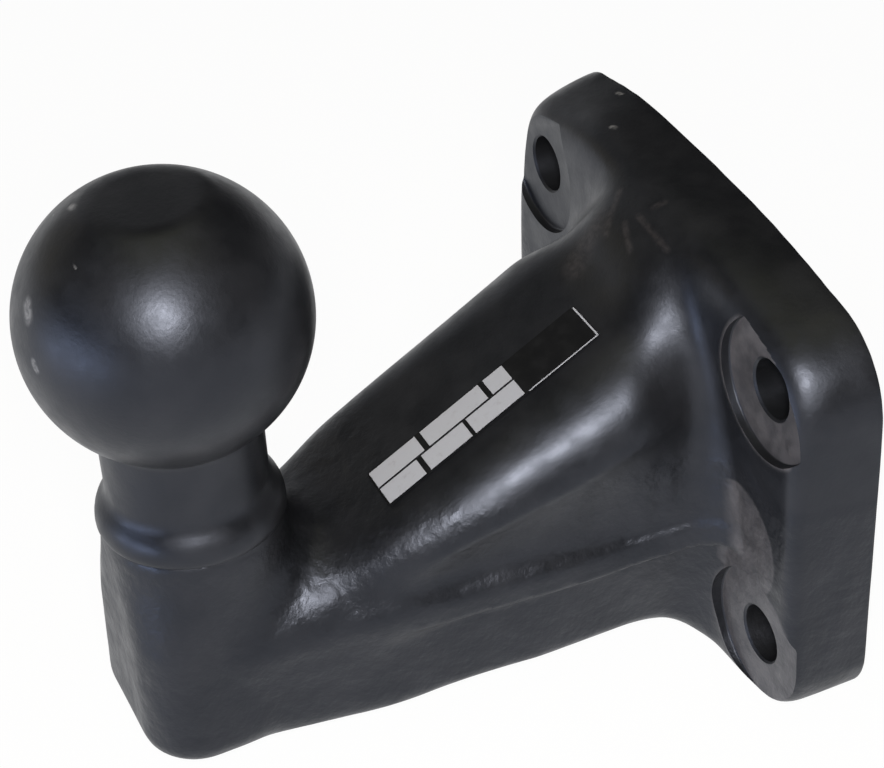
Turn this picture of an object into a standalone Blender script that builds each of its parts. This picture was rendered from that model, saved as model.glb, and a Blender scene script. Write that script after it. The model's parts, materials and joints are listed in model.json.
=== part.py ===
"""Four-hole flange tow ball: one drop forging with a thin rating label.

Metres.  The origin is the centre of the hole pattern on the flat rear face, +Y points out of that
face, +Z runs up the ball's axis, and the ball hangs out toward -Y.  Along the arm, u is the
distance from the ball's axis toward the flange.
"""
import math

import bmesh
import bpy

# Coupling ball and neck
BALL_DIAMETER = 0.050
BALL_REACH = 0.1058         # ball axis to rear face
BALL_HEIGHT = 0.0489        # ball centre above the hole pattern's centre
BALL_TOP_CUT = 0.0020       # what the flat takes off the ball's top
NECK_DIAMETER = 0.0286
NECK_BLEND = 0.0012         # small radius where neck meets ball
NECK_DROP = 0.0360          # ball centre down to where the neck starts to spread
FOOT_HEIGHT = 0.0065        # height of the spread at the neck's foot
FOOT_SPREAD = 0.0015
FOOT_SINK = 0.0030          # how deep the foot runs into the block

# Hole pattern
PITCH_X = 0.083
PITCH_Z = 0.056
HOLE_DIAMETER = 0.011
HOLE_CHAMFER = 0.0004
SEAT_DIAMETER = 0.027
SEAT_DEPTH = 0.0016         # machined seats below the forged front
SEAT_CLEAR = 0.0120         # how far the seats' cutters reach into the arm's fillets

# Flange
FLANGE_THICKNESS = 0.0160   # rear face to the forged front
FLANGE_MARGIN_X = 0.0127    # hole centres to the sides
FLANGE_MARGIN_Z = 0.0160    # hole centres to the top and bottom edges
FLANGE_CROWN = 0.0026       # drop of the top and bottom edges, centre to corner
FLANGE_CROWN_FAR = 0.0018   # the same at the top on the -X side, where it is flatter
FLANGE_TOP_RISE = 0.0005
FLANGE_TOP_FALL = 0.031     # slope of the trimmed top edge
CORNER_TOP = 0.0165
CORNER_TOP_FAR = 0.0112     # the corner on the -X side is tighter
CORNER_LOW = 0.0130
EDGE_SIDE = 0.0026          # rounding of the front edges
EDGE_LOW = 0.0036
EDGE_TOP = 0.0036
EDGE_REAR = 0.0006

# Base block under the neck
BLOCK_HEIGHT = 0.0433
BLOCK_STEP_SIDE = 0.0023    # block's side beyond the neck, at its top
BLOCK_STEP_END = 0.0016
BLOCK_DRAFT_SIDE = 0.0021   # growth from top to bottom
BLOCK_DRAFT_END = 0.0012
BLOCK_CORNER = 0.0100
BLOCK_EDGE_LOW = 0.0060
BLOCK_EDGE_TOP = 0.0020

# Arm: a wedge whose top climbs evenly from the parting ridge to the flange
ARM_BACK = 0.0060           # start of the arm inside the block, past the ball's axis
ARM_TOP_DROP = 0.0622       # ball centre down to the top's plane, on the ball's axis
ARM_STEP = 0.0004           # arm's top beyond the block's side, where it starts
ARM_TO_BOLT = 0.0127        # bolt axis to the arm's top edge, at the flange
ARM_ROLL_START = 0.0060     # radius of the rolled upper edges, behind the neck
ARM_ROLL_END = 0.0145       # the same at the flange
ARM_ROLL_ARC = 82.0
ROOT_LENGTH = 0.0163        # where the top leaves its plane, back from the flange's front
ROOT_RADIUS = 0.0200
ROOT_ANGLE = 66.0
ROOT_NARROW = 0.0030        # the arm draws in and rolls over more beside its root
ROOT_ROLL = 0.0036
TONGUE_HALF = 0.0080        # the root climbs in full this far from the middle
TONGUE_END = 0.0220         # and not at all from here on
CREST_RADIUS = 0.0094
CREST_DROP = 0.0028         # crest below the flange's top edge
WAIST = 0.0006              # how far the flank stands out under the rolled edge
FLARE_TOP = 0.0060          # fillets into the flange, at the top, the flank, the foot, the ridge
FLARE_SIDE = 0.0130
FLARE_LOW = 0.0080
FLARE_RIDGE = 0.0070
SADDLE_RADIUS = 0.0090      # fillet between the arm's top and the neck's foot
SADDLE_HALF = 0.0165
UNDER_RADIUS = 0.0270       # sweep of the underside down to the flange's low edge
UNDER_LIFT = 0.0016         # underside above the flange's low edge
LOW_HALF = 0.0222
LOW_EDGE = 0.0050
LOW_DRAFT = 0.0008
LOW_BELLY = 0.0011          # how far the underside hangs below its line, just past the block
LOW_BELLY_END = 0.0560

# Parting ridge along both flanks
RIDGE_DROP = 0.0660         # ball centre down to the ridge's shoulder, at the block
RIDGE_RISE = 0.0057
RIDGE_RISE_END = 0.0340     # where along the arm that rise ends
RIDGE_SINK = 0.0005         # the ridge starts this deep inside the block's side
RIDGE_GROW = 0.0057
RIDGE_GROW_LATE = 0.0022
RIDGE_LATE_END = 0.0680
RIDGE_FACE = 0.0052
RIDGE_LEAN = 0.0006
RIDGE_STEP = 0.0013
RIDGE_NOSE = 0.0010
RIDGE_SWEEP_LENGTH = 0.0238 # where the ridge turns outward, back from the flange's front
RIDGE_SWEEP_RADIUS = 0.0430

# Rating label on the arm's top
LABEL_TO_AXIS = 0.0322      # ball axis to the label's near end
LABEL_TO_FLANGE = 0.0156    # label's far end to the flange's front
LABEL_WIDTH = 0.0098
LABEL_THICKNESS = 0.0003
LABEL_OFFSET = 0.0074       # the label lies nearer to the +X edge
LABEL_CORNER = 0.0006

GAP = 0.0003                # clearance between touching pieces

ROUND_STEPS = 64
SEAT_STEPS = 48
BORE_STEPS = 32

# Derived sizes
BALL_RADIUS = 0.5 * BALL_DIAMETER
NECK_RADIUS = 0.5 * NECK_DIAMETER
BLOCK_TOP = BALL_HEIGHT - NECK_DROP - FOOT_HEIGHT
BLOCK_LOW = BLOCK_TOP - BLOCK_HEIGHT
BLOCK_HALF_TOP = NECK_RADIUS + BLOCK_STEP_SIDE
BLOCK_END_TOP = NECK_RADIUS + BLOCK_STEP_END
SEAT_THICKNESS = FLANGE_THICKNESS - SEAT_DEPTH
FLANGE_WIDTH = PITCH_X + 2.0 * FLANGE_MARGIN_X
FLANGE_HEIGHT = PITCH_Z + 2.0 * FLANGE_MARGIN_Z
ARM_END = BALL_REACH - FLANGE_THICKNESS
ARM_START_HEIGHT = BALL_HEIGHT - ARM_TOP_DROP
ARM_HALF_END = 0.5 * PITCH_X - ARM_TO_BOLT
ROOT_START = ARM_END - ROOT_LENGTH
RIDGE_START_HEIGHT = BALL_HEIGHT - RIDGE_DROP
RIDGE_SWEEP_START = ARM_END - RIDGE_SWEEP_LENGTH


def wipe_scene():
    """Removes every object that the file starts with."""
    for item in list(bpy.data.objects):
        bpy.data.objects.remove(item, do_unlink=True)


def make_material(name, colour, metallic, roughness):
    """Makes a Principled material with plain values."""
    material = bpy.data.materials.new(name)
    material.use_nodes = True
    shader = material.node_tree.nodes["Principled BSDF"]
    shader.inputs["Base Color"].default_value = (*colour, 1.0)
    shader.inputs["Metallic"].default_value = metallic
    shader.inputs["Roughness"].default_value = roughness
    return material


def mesh_object(name, verts, faces):
    """Links a mesh object with its normals turned outward."""
    mesh = bpy.data.meshes.new(name)
    mesh.from_pydata(verts, [], faces)
    work = bmesh.new()
    work.from_mesh(mesh)
    bmesh.ops.remove_doubles(work, verts=work.verts, dist=1e-7)
    bmesh.ops.recalc_face_normals(work, faces=work.faces)
    work.to_mesh(mesh)
    work.free()
    item = bpy.data.objects.new(name, mesh)
    bpy.context.scene.collection.objects.link(item)
    return item


def as_cutter(item):
    """Leaves an object out of the build: it only shapes another one."""
    item.hide_render = True
    item.display_type = "WIRE"
    return item


def loft(name, rings):
    """Skins closed rings of equal length and caps both ends."""
    count = len(rings[0])
    verts = [point for ring in rings for point in ring]
    faces = []
    for row in range(len(rings) - 1):
        base = row * count
        for k in range(count):
            nxt = (k + 1) % count
            faces.append((base + k, base + nxt, base + count + nxt, base + count + k))
    last = (len(rings) - 1) * count
    faces.append(tuple(range(count)))
    faces.append(tuple(range(last, last + count)))
    return mesh_object(name, verts, faces)


def lathe(name, profile, steps, centre, axis):
    """Turns a profile of (radius, height) pairs about the Z or Y axis through the centre."""
    rings = []
    for radius, height in profile:
        ring = []
        for k in range(steps):
            turn = 2.0 * math.pi * (k + 0.5) / steps
            across = radius * math.cos(turn)
            along = radius * math.sin(turn)
            point = (across, along, height) if axis == "Z" else (across, height, along)
            ring.append(tuple(c + p for c, p in zip(centre, point)))
        rings.append(ring)
    return loft(name, rings)


def arc(cx, cy, radius, start, end, steps):
    """Points of an arc, angles in degrees, both ends included."""
    points = []
    for k in range(steps + 1):
        turn = math.radians(start + (end - start) * k / steps)
        points.append((cx + radius * math.cos(turn), cy + radius * math.sin(turn)))
    return points


def fillet_rise(step, radius):
    """Rise of a concave fillet at a distance past its start, stopped just short of upright."""
    step = min(max(step, 0.0), 0.975 * radius)
    return radius - math.sqrt(radius * radius - step * step)


def flare(u, radius):
    """Growth of a concave fillet of that radius that runs into the flange."""
    return fillet_rise(u - (ARM_END - 0.975 * radius), radius)


def blend(u, start, end):
    """Smooth 0 to 1 step between two distances."""
    t = min(max((u - start) / (end - start), 0.0), 1.0)
    return t * t * (3.0 - 2.0 * t)


def ball_profile():
    """Profile of ball, neck and foot, from the top down, about the ball's centre."""
    start = math.degrees(math.asin(1.0 - BALL_TOP_CUT / BALL_RADIUS))
    end = -math.degrees(math.acos(NECK_RADIUS / BALL_RADIUS)) + 1.5
    low = -math.sqrt(BALL_RADIUS ** 2 - NECK_RADIUS ** 2)
    profile = arc(0.0, 0.0, BALL_RADIUS, start, end, 34)
    profile.append((NECK_RADIUS + 0.25 * NECK_BLEND, low - 0.2 * NECK_BLEND))
    profile.append((NECK_RADIUS, low - NECK_BLEND))
    profile.append((NECK_RADIUS, -NECK_DROP))
    for k in range(1, 7):
        turn = math.radians(15.0 * k)
        out = NECK_RADIUS + FOOT_SPREAD * (1.0 - math.cos(turn))
        profile.append((out, -NECK_DROP - FOOT_HEIGHT * math.sin(turn)))
    profile.append((NECK_RADIUS + 0.6 * FOOT_SPREAD, -NECK_DROP - FOOT_HEIGHT - FOOT_SINK))
    return profile


def build_ball():
    """Ball with its flat top, neck and foot."""
    centre = (0.0, -BALL_REACH, BALL_HEIGHT)
    return as_cutter(lathe("ball_and_neck", ball_profile(), ROUND_STEPS, centre, "Z"))


def block_share(z):
    """How far down the block a height lies, 0 at its top and 1 at its bottom."""
    return (BLOCK_TOP - z) / BLOCK_HEIGHT


def block_half(z):
    """Half width of the block at a height."""
    return BLOCK_HALF_TOP + BLOCK_DRAFT_SIDE * block_share(z)


def block_ring(z, inset):
    """One level of the base block: a rounded outline round the ball's axis."""
    half = block_half(z) - inset
    end = BLOCK_END_TOP + BLOCK_DRAFT_END * block_share(z) - inset
    corner = BLOCK_CORNER - 0.5 * inset
    points = arc(half - corner, -end + corner, corner, 0.0, -90.0, 8)
    points += arc(-half + corner, -end + corner, corner, -90.0, -180.0, 8)
    points += arc(0.0, 0.0, half, 180.0, 0.0, 18)
    return [(x, y - BALL_REACH, z) for x, y in points]


def build_block():
    """Base block under the neck, with rounded top and bottom edges."""
    rings = []
    for k in range(4):
        turn = math.radians(30.0 * k)
        inset = BLOCK_EDGE_TOP * (1.0 - math.sin(turn))
        rings.append(block_ring(BLOCK_TOP - BLOCK_EDGE_TOP * (1.0 - math.cos(turn)), inset))
    high = BLOCK_TOP - BLOCK_EDGE_TOP
    low = BLOCK_LOW + BLOCK_EDGE_LOW
    for k in range(1, 5):
        rings.append(block_ring(high + (low - high) * k / 5.0, 0.0))
    for k in range(7):
        turn = math.radians(15.0 * k)
        inset = BLOCK_EDGE_LOW * (1.0 - math.cos(turn))
        rings.append(block_ring(BLOCK_LOW + BLOCK_EDGE_LOW * (1.0 - math.sin(turn)), inset))
    return as_cutter(loft("base_block", rings))


def ridge_sweep(u):
    """Growth of the parting ridge toward the flange."""
    return max(u - RIDGE_SWEEP_START, 0.0) ** 2 / (2.0 * RIDGE_SWEEP_RADIUS)


def ridge_start():
    """Share of the ridge that has come out of the block, as a pair of distances."""
    return -0.1 * RIDGE_RISE_END, RIDGE_RISE_END


def ridge_height(u):
    """Height of the ridge's shoulder."""
    return RIDGE_START_HEIGHT + RIDGE_RISE * blend(u, *ridge_start()) + 0.8 * ridge_sweep(u)


def ridge_half(u):
    """Half width of the parting ridge."""
    grow = RIDGE_GROW * blend(u, *ridge_start())
    grow += RIDGE_GROW_LATE * blend(u, RIDGE_RISE_END, RIDGE_LATE_END)
    start = block_half(RIDGE_START_HEIGHT) - RIDGE_SINK
    return start + grow + ridge_sweep(u) + flare(u, FLARE_RIDGE)


def arm_half(u):
    """Half width of the arm's top."""
    start = BLOCK_HALF_TOP + ARM_STEP
    half = start + (ARM_HALF_END - start) * max(u, 0.0) / ARM_END
    return half - ROOT_NARROW * blend(u, ROOT_START, ARM_END)


def arm_roll(u):
    """Radius of the rolled upper edge."""
    roll = ARM_ROLL_START + (ARM_ROLL_END - ARM_ROLL_START) * blend(u, 0.33 * ARM_END, ARM_END)
    return roll + ROOT_ROLL * blend(u, ROOT_START, ARM_END)


def root_rise(u, slope):
    """Rise of the top past the start of its root: a concave climb, then the crest."""
    steep = math.radians(ROOT_ANGLE)
    start = math.atan(slope)
    climb = ROOT_RADIUS * (math.sin(steep) - math.sin(start))
    step = max(u - ROOT_START, 0.0)
    if step <= climb:
        turn = math.asin(math.sin(start) + step / ROOT_RADIUS)
        return ROOT_RADIUS * (math.cos(start) - math.cos(turn))
    turn = math.asin(max(math.sin(steep) - (step - climb) / CREST_RADIUS, 0.0))
    foot = ROOT_RADIUS * (math.cos(start) - math.cos(steep))
    return foot + CREST_RADIUS * (math.cos(turn) - math.cos(steep))


def arm_slope():
    """Slope of the arm's top that brings its crest just under the flange's top edge."""
    crest = 0.5 * FLANGE_HEIGHT - CREST_DROP
    slope = 0.5
    for _ in range(12):
        slope = (crest - root_rise(ARM_END, slope) - ARM_START_HEIGHT) / ROOT_START
    return slope


ARM_SLOPE = arm_slope()


def arm_plane(u):
    """Height of the plane that the arm's top follows."""
    return ARM_START_HEIGHT + ARM_SLOPE * u


def arm_climb(u):
    """How far the root's middle has climbed off that plane."""
    return root_rise(u, ARM_SLOPE) - ARM_SLOPE * max(u - ROOT_START, 0.0)


def arm_top(u):
    """Height of the arm's top in the middle: the plane, then the root's climb to the flange."""
    return arm_plane(u) + arm_climb(u)


def arm_low(u):
    """Height of the arm's underside, which sweeps down to the flange's low edge."""
    sweep = fillet_rise(u - ROOT_START, UNDER_RADIUS)
    full = fillet_rise(ARM_END - ROOT_START, UNDER_RADIUS)
    fall = BLOCK_LOW - full - (UNDER_LIFT - 0.5 * FLANGE_HEIGHT)
    return BLOCK_LOW - fall * max(u, 0.0) / ARM_END - sweep


def saddle(u):
    """Rise of the arm's top toward the back of the foot."""
    back = NECK_RADIUS + FOOT_SPREAD + SADDLE_RADIUS
    return fillet_rise(back - u, SADDLE_RADIUS)


def upper_edge(u):
    """Top's centre to the end of the rolled edge, as (x, z) points."""
    top = arm_plane(u)
    side = ridge_half(u)
    room = max(top - ridge_height(u), RIDGE_LEAN)
    limit = side - RIDGE_LEAN + 0.6 * max(room - 0.6 * ARM_ROLL_END, 0.0)
    half = min(arm_half(u) + flare(u, FLARE_TOP), limit)
    roll = min(arm_roll(u), 0.62 * room)
    flat = half - roll - RIDGE_NOSE * (1.0 - blend(roll, 0.0, ARM_ROLL_START))
    edge = [(flat * k / 6.0, top) for k in range(6)]
    edge += [(flat + x, top - roll + z) for x, z in arc(0.0, 0.0, roll, 90.0, 90.0 - ARM_ROLL_ARC, 7)]
    points = []
    for x, z in edge:
        fade = max(1.0 - (x / SADDLE_HALF) ** 2, 0.0) ** 2
        share = 1.0 - blend(x, TONGUE_HALF, TONGUE_END)
        points.append((x, z + saddle(u) * fade + arm_climb(u) * share))
    return points


def flank(u, start):
    """Concave flank from the rolled edge down to the ridge's shoulder."""
    x0, z0 = start
    side = ridge_half(u)
    shoulder = ridge_height(u)
    waist = x0 + WAIST + flare(u, FLARE_SIDE) - flare(u, FLARE_TOP)
    x1 = max(x0, min(waist, side + flare(u, FLARE_SIDE)))
    z1 = shoulder + 0.30 * (z0 - shoulder)
    points = []
    for k in range(1, 8):
        t = k / 7.0
        a = (1.0 - t) ** 2
        b = 2.0 * t * (1.0 - t)
        c = t * t
        points.append((a * x0 + b * x1 + c * (side - RIDGE_NOSE), a * z0 + b * z1 + c * shoulder))
    return points


def lower_side(u):
    """Ridge's face, the step under it, the lower wall and its rounded edge."""
    out = blend(u, 0.1 * RIDGE_RISE_END, RIDGE_RISE_END)
    side = ridge_half(u)
    shoulder = ridge_height(u)
    edge = shoulder - RIDGE_FACE
    step = RIDGE_STEP * out + 0.5 * ridge_sweep(u)
    wall = side - step - 0.2 * RIDGE_NOSE
    belly = LOW_BELLY * blend(u, -ARM_BACK, 0.6 * NECK_RADIUS)
    belly *= 1.0 - blend(u, 0.6 * NECK_RADIUS, LOW_BELLY_END)
    low = arm_low(u) + ARM_STEP * (1.0 - out) - belly
    foot = min(wall - LOW_DRAFT, LOW_HALF) + flare(u, FLARE_LOW)
    points = [
        (side - 0.3 * RIDGE_NOSE, shoulder - 0.3 * RIDGE_NOSE),
        (side, shoulder - RIDGE_NOSE),
        (side + RIDGE_LEAN * out, edge + 0.3 * RIDGE_NOSE),
        (side + RIDGE_LEAN * out - 0.3 * step, edge - 0.2 * RIDGE_NOSE),
        (wall, edge - 0.7 * RIDGE_NOSE),
        (0.5 * (wall + foot), 0.5 * (edge - 0.7 * RIDGE_NOSE + low + LOW_EDGE)),
    ]
    points += arc(foot - LOW_EDGE, low + LOW_EDGE, LOW_EDGE, 0.0, -90.0, 5)
    points.append((0.5 * (foot - LOW_EDGE), low))
    return points


def arm_ring(u):
    """Closed ring of the arm."""
    right = upper_edge(u)
    right += flank(u, right[-1])
    right += lower_side(u)
    bottom = [(0.0, right[-1][1])]
    left = [(-x, z) for x, z in reversed(right[1:])]
    return [(x, u - BALL_REACH, z) for x, z in right + bottom + left]


def build_arm():
    """Arm as one loft from inside the base block into the flange."""
    saddle_end = NECK_RADIUS + FOOT_SPREAD + SADDLE_RADIUS
    stations = [-ARM_BACK * (1.0 - k / 2.0) for k in range(2)]
    stations += [saddle_end * k / 16.0 for k in range(17)]
    stations += [saddle_end + (ROOT_START - saddle_end) * k / 8.0 for k in range(1, 7)]
    for k in range(15):
        turn = math.radians(90.0 * k / 14.0)
        stations.append(ARM_END - 1.17 * ROOT_LENGTH * (1.0 - math.sin(turn)))
    rings = [arm_ring(u) for u in stations]
    rings.append([(x, y + 0.25 * FLANGE_THICKNESS, z) for x, y, z in rings[-1]])
    return as_cutter(loft("arm", rings))


def crown(x, upper):
    """Height of the flange's top or bottom edge at x."""
    half = 0.5 * FLANGE_HEIGHT
    out = (x / (0.5 * FLANGE_WIDTH - CORNER_TOP)) ** 2
    if upper:
        bend = (FLANGE_CROWN + FLANGE_TOP_RISE) * out if x > 0.0 else FLANGE_CROWN_FAR * out ** 2
        return half + FLANGE_TOP_RISE - bend - FLANGE_TOP_FALL * x
    return -half + 0.5 * FLANGE_CROWN * out


def flange_corner(sx, sz, side, inset):
    """Centre and radius of one rounded corner of the flange."""
    if sz > 0:
        radius = CORNER_TOP if sx > 0 else CORNER_TOP_FAR
    else:
        radius = CORNER_LOW
    radius -= 0.5 * side
    cx = sx * (0.5 * FLANGE_WIDTH - side - radius)
    cz = crown(cx, sz > 0) - sz * (inset + radius)
    return cx, cz, radius


def flange_ring(y, side, low, high):
    """Outline of the flange at one depth, set in by side, low and high."""
    cx, cz, radius = flange_corner(1, 1, side, high)
    points = arc(cx, cz, radius, 0.0, 90.0, 9)
    for k in range(1, 8):
        x = cx * (1.0 - k / 4.0)
        points.append((x, crown(x, True) - high))
    points += arc(*flange_corner(-1, 1, side, high), 90.0, 180.0, 9)
    cx, cz, radius = flange_corner(-1, -1, side, low)
    points += arc(cx, cz, radius, 180.0, 270.0, 9)
    for k in range(1, 6):
        x = cx * (1.0 - k / 3.0)
        points.append((x, crown(x, False) + low))
    points += arc(*flange_corner(1, -1, side, low), 270.0, 360.0, 9)
    return [(x, y, z) for x, z in points]


def edge_inset(depth, radius):
    """Set-in of a rounded edge at a depth behind the front."""
    rest = max(radius - depth, 0.0) / radius
    return radius * (1.0 - math.sqrt(1.0 - rest * rest))


def build_flange():
    """Flange with crowned edges and rounded front."""
    rings = []
    for k in range(11):
        depth = 0.66 * FLANGE_THICKNESS * (k / 10.0) ** 2
        insets = [edge_inset(depth, radius) for radius in (EDGE_SIDE, EDGE_LOW, EDGE_TOP)]
        rings.append(flange_ring(depth - FLANGE_THICKNESS, *insets))
    rings.append(flange_ring(-EDGE_REAR, 0.0, 0.0, 0.0))
    rings.append(flange_ring(0.0, EDGE_REAR, EDGE_REAR, EDGE_REAR))
    return loft("forged_body", rings)


def hole_centres():
    """Centres (x, z) of the four bolt holes."""
    return [(sx * 0.5 * PITCH_X, sz * 0.5 * PITCH_Z) for sz in (1, -1) for sx in (-1, 1)]


def build_seat(index, x, z):
    """Cutter of one machined bolt seat, open toward the front."""
    radius = 0.5 * SEAT_DIAMETER
    profile = [(radius, -SEAT_THICKNESS), (radius, -SEAT_THICKNESS - SEAT_CLEAR)]
    return as_cutter(lathe("seat_cutter_%d" % index, profile, SEAT_STEPS, (x, 0.0, z), "Y"))


def build_bore(index, x, z):
    """Cutter of one bolt hole with small chamfers at seat and rear face."""
    radius = 0.5 * HOLE_DIAMETER
    wide = radius + HOLE_CHAMFER
    past = 4.0 * HOLE_CHAMFER
    profile = [
        (wide + past, past),
        (wide, 0.0),
        (radius, -HOLE_CHAMFER),
        (radius, -SEAT_THICKNESS + HOLE_CHAMFER),
        (wide, -SEAT_THICKNESS),
        (wide + past, -SEAT_THICKNESS - past),
    ]
    return as_cutter(lathe("bore_cutter_%d" % index, profile, BORE_STEPS, (x, 0.0, z), "Y"))


def add_boolean(target, tool, operation):
    """Adds one exact Boolean."""
    modifier = target.modifiers.new(tool.name, "BOOLEAN")
    modifier.operation = operation
    modifier.solver = "EXACT"
    modifier.object = tool


def build_body(material):
    """Forging with machined seats and holes."""
    body = build_flange()
    for tool in (build_arm(), build_block(), build_ball()):
        add_boolean(body, tool, "UNION")
    for index, (x, z) in enumerate(hole_centres()):
        add_boolean(body, build_seat(index, x, z), "DIFFERENCE")
        add_boolean(body, build_bore(index, x, z), "DIFFERENCE")
    body.data.materials.append(material)
    return body


def label_ring(u, half):
    """Cross-section of the label, laid on the arm's top with the usual gap."""
    rise = math.hypot(1.0, ARM_SLOPE)
    low = arm_top(u) + GAP * rise
    high = low + LABEL_THICKNESS * rise
    outline = [(half, low), (half, high), (-half, high), (-half, low)]
    return [(LABEL_OFFSET + x, u - BALL_REACH, z) for x, z in outline]


def build_label(material):
    """Thin label with rounded corners that follows the arm's top."""
    half = 0.5 * LABEL_WIDTH
    start = LABEL_TO_AXIS
    end = ARM_END - LABEL_TO_FLANGE
    rings = []
    for k in range(5):
        turn = math.radians(22.5 * k)
        inset = LABEL_CORNER * (1.0 - math.sin(turn))
        rings.append(label_ring(start + LABEL_CORNER * (1.0 - math.cos(turn)), half - inset))
    inner = end - start - 2.0 * LABEL_CORNER
    for k in range(1, 12):
        rings.append(label_ring(start + LABEL_CORNER + inner * k / 12.0, half))
    for k in range(5):
        turn = math.radians(90.0 - 22.5 * k)
        inset = LABEL_CORNER * (1.0 - math.sin(turn))
        rings.append(label_ring(end - LABEL_CORNER * (1.0 - math.cos(turn)), half - inset))
    label = loft("rating_label", rings)
    label.data.materials.append(material)
    return label


def main():
    """Builds both pieces."""
    wipe_scene()
    paint = make_material("black_paint", (0.030, 0.032, 0.038), 0.0, 0.42)
    foil = make_material("label_foil", (0.015, 0.015, 0.016), 0.0, 0.45)
    build_body(paint)
    build_label(foil)


main()
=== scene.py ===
"""Looks of a forged four-hole flange tow ball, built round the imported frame.

Metres, in the row's frame: the origin is the centre of the hole pattern on the flat rear face, +Y
points out of that face and +Z runs up the ball's axis.  Along the arm, u is the distance from the
ball's axis toward the flange.
"""

import json
import logging
import math
from dataclasses import dataclass, field
from enum import Enum

import bmesh
import bpy
import numpy as np
from mathutils import Matrix, Vector, noise

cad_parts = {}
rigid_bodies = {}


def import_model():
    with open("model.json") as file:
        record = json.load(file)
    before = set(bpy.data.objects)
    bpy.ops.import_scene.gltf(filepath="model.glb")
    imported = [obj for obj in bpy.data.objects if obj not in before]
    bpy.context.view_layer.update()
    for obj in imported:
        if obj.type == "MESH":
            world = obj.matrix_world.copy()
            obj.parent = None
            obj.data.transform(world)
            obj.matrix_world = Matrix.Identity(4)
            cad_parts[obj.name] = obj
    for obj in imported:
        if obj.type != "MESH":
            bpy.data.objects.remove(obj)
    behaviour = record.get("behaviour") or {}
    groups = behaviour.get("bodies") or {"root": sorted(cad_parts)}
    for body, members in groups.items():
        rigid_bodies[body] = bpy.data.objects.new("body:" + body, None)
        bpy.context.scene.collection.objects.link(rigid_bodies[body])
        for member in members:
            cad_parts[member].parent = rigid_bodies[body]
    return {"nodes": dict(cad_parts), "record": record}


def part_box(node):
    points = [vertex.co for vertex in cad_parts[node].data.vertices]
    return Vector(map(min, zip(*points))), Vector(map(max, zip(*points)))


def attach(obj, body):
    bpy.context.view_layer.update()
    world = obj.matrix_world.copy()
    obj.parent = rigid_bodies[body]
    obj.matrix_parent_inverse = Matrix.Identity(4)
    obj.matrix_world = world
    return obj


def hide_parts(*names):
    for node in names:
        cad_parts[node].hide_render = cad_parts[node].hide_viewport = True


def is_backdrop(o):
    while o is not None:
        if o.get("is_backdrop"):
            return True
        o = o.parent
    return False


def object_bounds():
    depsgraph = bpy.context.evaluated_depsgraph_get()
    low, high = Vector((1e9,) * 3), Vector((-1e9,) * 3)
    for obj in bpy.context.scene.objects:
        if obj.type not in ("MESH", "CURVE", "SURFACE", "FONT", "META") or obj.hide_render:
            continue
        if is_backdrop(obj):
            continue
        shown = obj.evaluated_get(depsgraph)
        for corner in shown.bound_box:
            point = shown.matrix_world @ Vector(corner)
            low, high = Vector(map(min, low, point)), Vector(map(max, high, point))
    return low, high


LOG = logging.getLogger("tow_ball")
BODY = "root"
MM = 0.001
BALL_FLAT = 23.0 * MM
SEAT_SHIFT = 6.5 * MM

Point = tuple[float, float, float]
Pair = tuple[float, float]


class Cut(Enum):
    """What a tool does to the forging."""

    JOIN = "UNION"
    REMOVE = "DIFFERENCE"


# Shared mesh helpers


def add_object(name: str, data: bpy.types.ID) -> bpy.types.Object:
    """Links a new object to the scene."""
    item = bpy.data.objects.new(name, data)
    bpy.context.scene.collection.objects.link(item)
    return item


def new_object(name: str, verts: np.ndarray, faces: list[tuple[int, ...]]) -> bpy.types.Object:
    """Links a mesh object with its faces turned outward.

    Args:
        name: The object's name.
        verts: Its points, one per row.
        faces: Its faces, as indices of points.

    Returns:
        The object.
    """
    mesh = bpy.data.meshes.new(name)
    mesh.from_pydata([tuple(point) for point in verts], [], faces)
    work = bmesh.new()
    work.from_mesh(mesh)
    bmesh.ops.remove_doubles(work, verts=work.verts, dist=1e-7)
    bmesh.ops.recalc_face_normals(work, faces=work.faces)
    work.to_mesh(mesh)
    work.free()
    return add_object(name, mesh)


def loft(name: str, rings: list[list[Point]]) -> bpy.types.Object:
    """Skins closed rings of equal length and caps both ends.

    Args:
        name: The object's name.
        rings: The rings, each a list of points.

    Returns:
        The closed object.
    """
    count = len(rings[0])
    verts = np.array(rings, float).reshape(-1, 3)
    faces = []
    for row in range(len(rings) - 1):
        base = row * count
        for k in range(count):
            nxt = (k + 1) % count
            faces.append((base + k, base + nxt, base + count + nxt, base + count + k))
    last = (len(rings) - 1) * count
    faces.append(tuple(range(count)))
    faces.append(tuple(range(last, last + count)))
    return new_object(name, verts, faces)


def lathe(name: str, profile: list[Pair], steps: int, centre: Point, axis: str) -> bpy.types.Object:
    """Turns a profile about the Z or Y axis.

    Args:
        name: The object's name.
        profile: Pairs of radius and height along the axis.
        steps: How many steps make a full turn.
        centre: The point that the heights are measured from.
        axis: "Z" or "Y".

    Returns:
        The turned object.
    """
    rings = []
    for radius, height in profile:
        ring = []
        for k in range(steps):
            turn = 2.0 * math.pi * (k + 0.5) / steps
            across = radius * math.cos(turn)
            along = radius * math.sin(turn)
            point = (across, along, height) if axis == "Z" else (across, height, along)
            ring.append(tuple(c + p for c, p in zip(centre, point)))
        rings.append(ring)
    return loft(name, rings)


def arc(cx: float, cy: float, radius: float, start: float, end: float, steps: int) -> list[Pair]:
    """Points of an arc, angles in degrees, both ends included."""
    points = []
    for k in range(steps + 1):
        turn = math.radians(start + (end - start) * k / steps)
        points.append((cx + radius * math.cos(turn), cy + radius * math.sin(turn)))
    return points


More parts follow.
